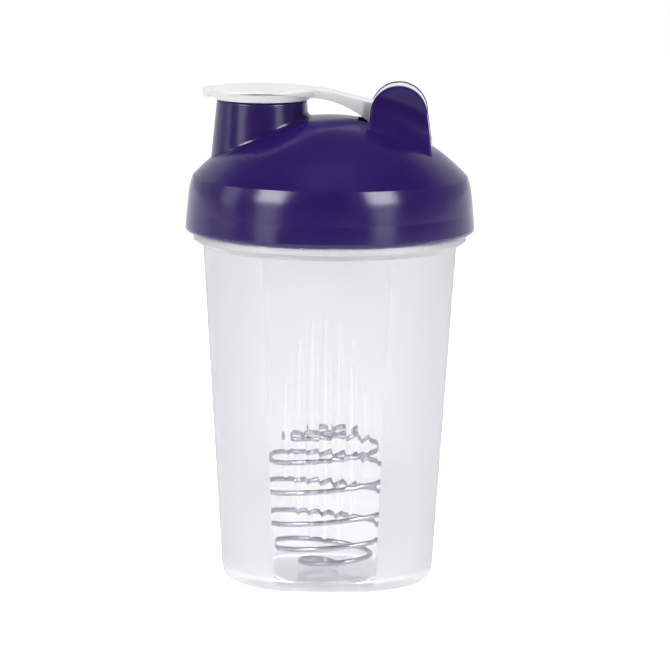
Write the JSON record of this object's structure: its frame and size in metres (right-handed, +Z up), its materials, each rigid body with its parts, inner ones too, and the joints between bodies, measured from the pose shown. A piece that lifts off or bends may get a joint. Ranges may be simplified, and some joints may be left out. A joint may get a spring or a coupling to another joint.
{
  "type": "protein shaker bottle",
  "caption": "Shaker bottle with a see-through ribbed cup, screw lid with pouring spout and hinged flip cap, and a loose wire whisk ball.",
  "frame": {"origin": "centre of the foot, on the surface that the cup stands on", "axes": "+Z up along the cup's axis, -X to the spout, +X to the hinge, -Y to the flat panel"},
  "size_m": [0.0954, 0.0954, 0.1648],
  "materials": {
    "cup_plastic": "frosted see-through moulding with a polished flat panel",
    "lid_plastic": "gloss moulding, deep violet",
    "cap_plastic": "satin white moulding",
    "seal_rubber": "translucent silicone",
    "wire_steel": "bright drawn stainless wire"
  },
  "bodies": {
    "cup": {"cup": "cup_plastic"},
    "lid_seal": {"lid_gasket": "seal_rubber"},
    "lid": {"lid": "lid_plastic"},
    "flip_cap": {"flip_cap": "cap_plastic", "spout_gasket": "seal_rubber"},
    "whisk_ball": {"whisk_ball": "wire_steel"}
  },
  "joints": [
    {"name": "lid_lift", "type": "slide", "parent": "cup", "child": "lid_seal", "axis": [0, 0, 1], "range_m": [0, 0.0181]},
    {"name": "lid_turn", "type": "hinge", "parent": "lid_seal", "child": "lid", "pos_m": [0, 0, 0.1337], "axis": [0, 0, 1], "range_deg": [0, 1080]},
    {"name": "cap_hinge", "type": "hinge", "parent": "lid", "child": "flip_cap", "pos_m": [0.0224, 0, 0.1554], "axis": [0, 1, 0], "range_deg": [0, 120]},
    {"name": "ball_lift", "type": "slide", "parent": "cup", "child": "whisk_ball", "axis": [0, 0, 1], "range_m": [0, 0.06]}
  ],
  "couplings": [
    {"joint": "lid_lift", "follows": "lid_turn", "m_per_rad": 0.00095493}
  ]
}
